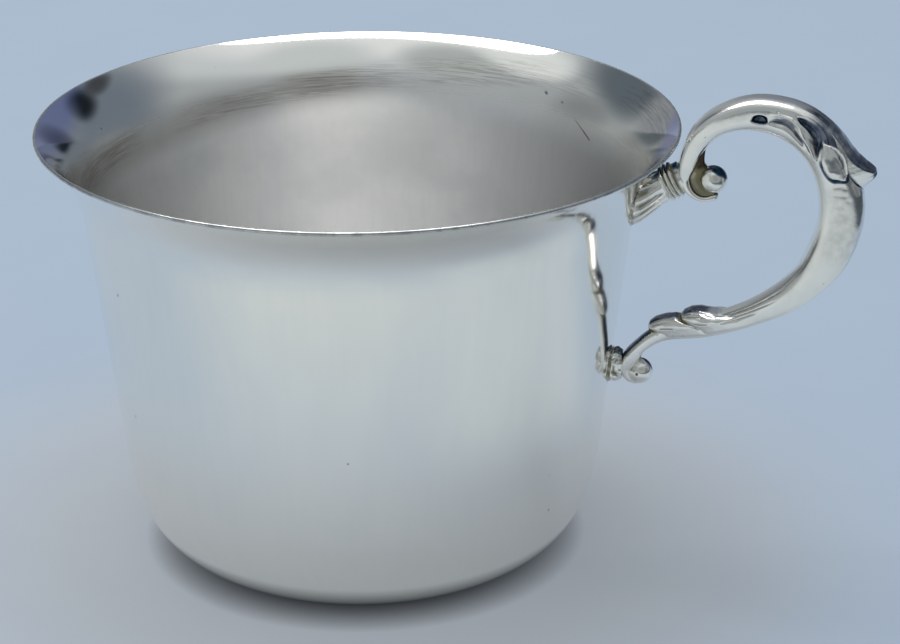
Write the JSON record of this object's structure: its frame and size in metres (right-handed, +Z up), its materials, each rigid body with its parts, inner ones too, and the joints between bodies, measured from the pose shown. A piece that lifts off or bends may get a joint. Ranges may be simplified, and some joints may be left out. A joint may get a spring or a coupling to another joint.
{
  "type": "punch cup",
  "caption": "Open round metal cup with a flared lip and flat base, carried by a cast scroll handle with a leaf at the thumb and small ball ends.",
  "frame": {"origin": "centre of the underside of the flat base, on the table", "axes": "+Z up along the axis of the bowl, +X towards the handle"},
  "size_m": [0.1081, 0.0832, 0.0641],
  "materials": {
    "spun_sheet": "polished silver plate outside, spun satin inside",
    "cast_silver": "polished cast silver with darkened recesses",
    "solder": "dull grey solder"
  },
  "bodies": {
    "root": {"bowl": "spun_sheet", "leaf_bracket": "cast_silver", "scroll_handle": "cast_silver", "upper_ball": "cast_silver", "lower_ball": "cast_silver", "wall_pad": "cast_silver", "upper_solder": "solder", "lower_solder": "solder"}
  },
  "joints": []
}
